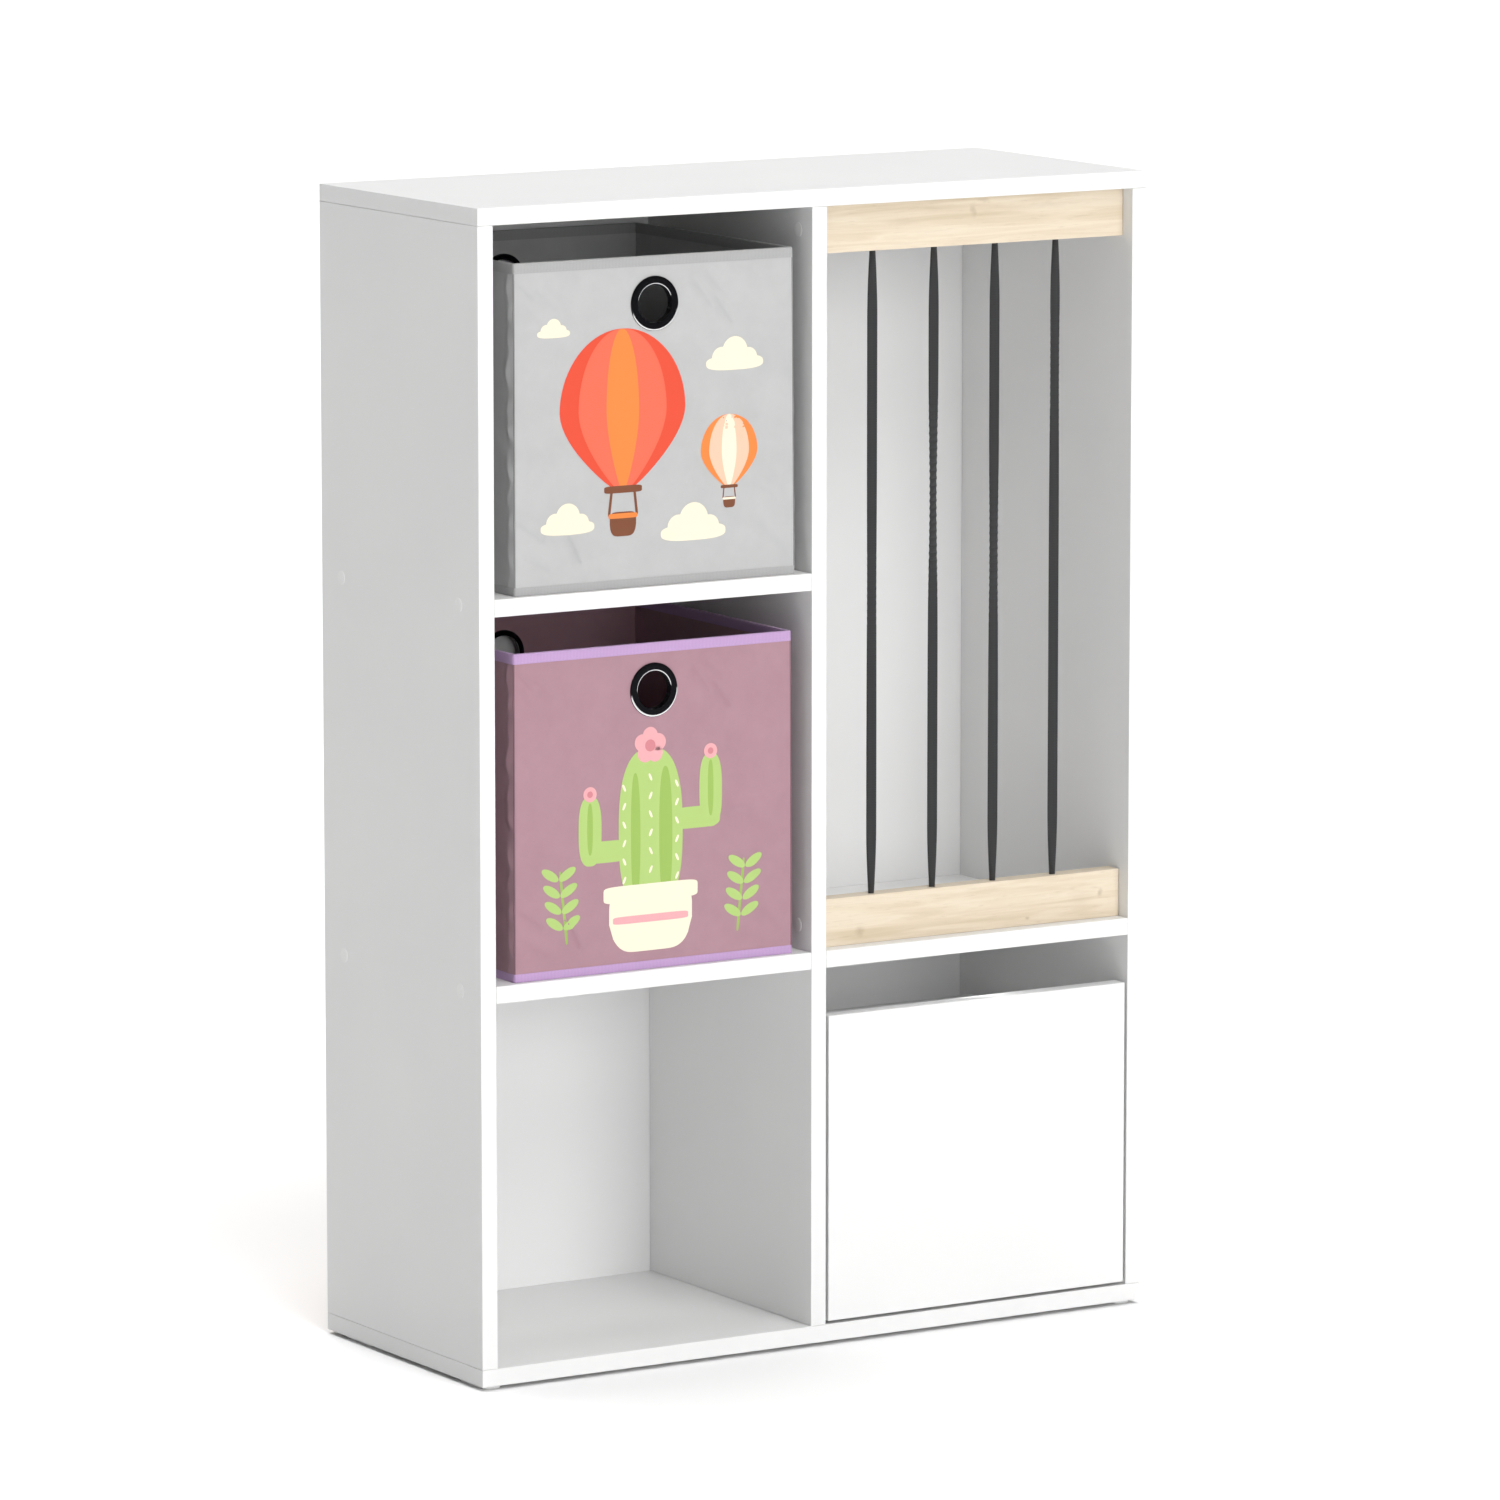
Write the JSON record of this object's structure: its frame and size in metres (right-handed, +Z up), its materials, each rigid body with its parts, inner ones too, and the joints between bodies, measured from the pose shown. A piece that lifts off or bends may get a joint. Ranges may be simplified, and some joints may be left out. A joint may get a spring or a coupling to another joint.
{
  "type": "kids shelf unit",
  "caption": "Free-standing white children's shelf unit with open cells, pull-out fabric boxes, a toy bay closed by elastic bands, and a drawer on roller runners.",
  "frame": {"origin": "middle of the unit's footprint, on the floor under the glides", "axes": "+X to the right seen from the front, +Y from the open front to the back, +Z up"},
  "size_m": [0.72, 0.293, 1.078],
  "materials": {
    "melamine": "white melamine-faced chipboard, satin",
    "backing": "white-faced hardboard",
    "maple": "pale solid wood, clear matt lacquer",
    "elastic": "black woven elastic",
    "glide": "moulded, white",
    "steel": "zinc plated",
    "runner": "white powder-coated sheet steel",
    "nylon": "moulded, off-white",
    "grey_fabric": "light grey non-woven fabric",
    "mauve_fabric": "mauve non-woven fabric",
    "cardboard": "plain grey-brown board",
    "grommet": "moulded, glossy black"
  },
  "bodies": {
    "root": {"left_side_panel": "melamine", "centre_divider": "melamine", "right_side_panel": "melamine", "top_panel": "melamine", "bottom_panel": "melamine", "upper_left_shelf": "melamine", "lower_left_shelf": "melamine", "right_shelf": "melamine", "back_panel_left": "backing", "back_panel_right": "backing", "glide_front_left": "glide", "glide_front_right": "glide", "glide_rear_left": "glide", "glide_rear_right": "glide", "upper_left_shelf_screw_front": "steel", "upper_left_shelf_screw_rear": "steel", "lower_left_shelf_screw_front": "steel", "lower_left_shelf_screw_rear": "steel", "right_shelf_screw_front": "steel", "right_shelf_screw_rear": "steel", "upper_rail_screw_left": "steel", "upper_rail_screw_right": "steel", "lower_rail_screw_left": "steel", "lower_rail_screw_right": "steel", "upper_rail": "maple", "lower_rail": "maple", "elastic_band_1": "elastic", "elastic_band_2": "elastic", "elastic_band_3": "elastic", "elastic_band_4": "elastic", "cabinet_runner_left": "runner", "cabinet_runner_right": "runner"},
    "drawer": {"drawer_front": "melamine", "drawer_left_side": "melamine", "drawer_right_side": "melamine", "drawer_back": "melamine", "drawer_bottom": "backing", "drawer_runner_left": "runner", "drawer_runner_right": "runner"},
    "cabinet_roller_left": {"cabinet_roller_left": "nylon"},
    "cabinet_roller_right": {"cabinet_roller_right": "nylon"},
    "drawer_roller_left": {"drawer_roller_left": "nylon"},
    "drawer_roller_right": {"drawer_roller_right": "nylon"},
    "grey_box": {"grey_box_fabric": "grey_fabric", "grey_box_front_stiffener": "cardboard", "grey_box_right_stiffener": "cardboard", "grey_box_rear_stiffener": "cardboard", "grey_box_left_stiffener": "cardboard", "grey_box_front_grommet": "grommet", "grey_box_rear_grommet": "grommet"},
    "grey_base_board": {"grey_box_base_board": "grey_fabric"},
    "mauve_box": {"mauve_box_fabric": "mauve_fabric", "mauve_box_front_stiffener": "cardboard", "mauve_box_right_stiffener": "cardboard", "mauve_box_rear_stiffener": "cardboard", "mauve_box_left_stiffener": "cardboard", "mauve_box_front_grommet": "grommet", "mauve_box_rear_grommet": "grommet"},
    "mauve_base_board": {"mauve_box_base_board": "mauve_fabric"}
  },
  "joints": [
    {"name": "drawer_slide", "type": "slide", "parent": "root", "child": "drawer", "axis": [0, -1, 0], "range_m": [0, 0.185]},
    {"name": "cabinet_roller_left_spin", "type": "hinge", "parent": "root", "child": "cabinet_roller_left", "pos_m": [0.01425, -0.1165, 0.0445], "axis": [1, 0, 0], "range_deg": [0, 1260]},
    {"name": "cabinet_roller_right_spin", "type": "hinge", "parent": "root", "child": "cabinet_roller_right", "pos_m": [0.33775, -0.1165, 0.0445], "axis": [1, 0, 0], "range_deg": [0, 1260]},
    {"name": "drawer_roller_left_spin", "type": "hinge", "parent": "drawer", "child": "drawer_roller_left", "pos_m": [0.01425, 0.0895, 0.042], "axis": [1, 0, 0], "range_deg": [0, 1260]},
    {"name": "drawer_roller_right_spin", "type": "hinge", "parent": "drawer", "child": "drawer_roller_right", "pos_m": [0.33775, 0.0895, 0.042], "axis": [1, 0, 0], "range_deg": [0, 1260]},
    {"name": "grey_box_pull", "type": "slide", "parent": "root", "child": "grey_box", "axis": [0, -1, 0], "range_m": [0, 0.27]},
    {"name": "mauve_box_pull", "type": "slide", "parent": "root", "child": "mauve_box", "axis": [0, -1, 0], "range_m": [0, 0.27]},
    {"name": "grey_base_board_lift", "type": "slide", "parent": "grey_box", "child": "grey_base_board", "axis": [0, 0, 1], "range_m": [0, 0.29]},
    {"name": "mauve_base_board_lift", "type": "slide", "parent": "mauve_box", "child": "mauve_base_board", "axis": [0, 0, 1], "range_m": [0, 0.29]}
  ],
  "couplings": [
    {"joint": "cabinet_roller_left_spin", "follows": "drawer_slide", "rad_per_m": 117.65},
    {"joint": "cabinet_roller_right_spin", "follows": "drawer_slide", "rad_per_m": 117.65},
    {"joint": "drawer_roller_left_spin", "follows": "drawer_slide", "rad_per_m": 117.65},
    {"joint": "drawer_roller_right_spin", "follows": "drawer_slide", "rad_per_m": 117.65}
  ]
}
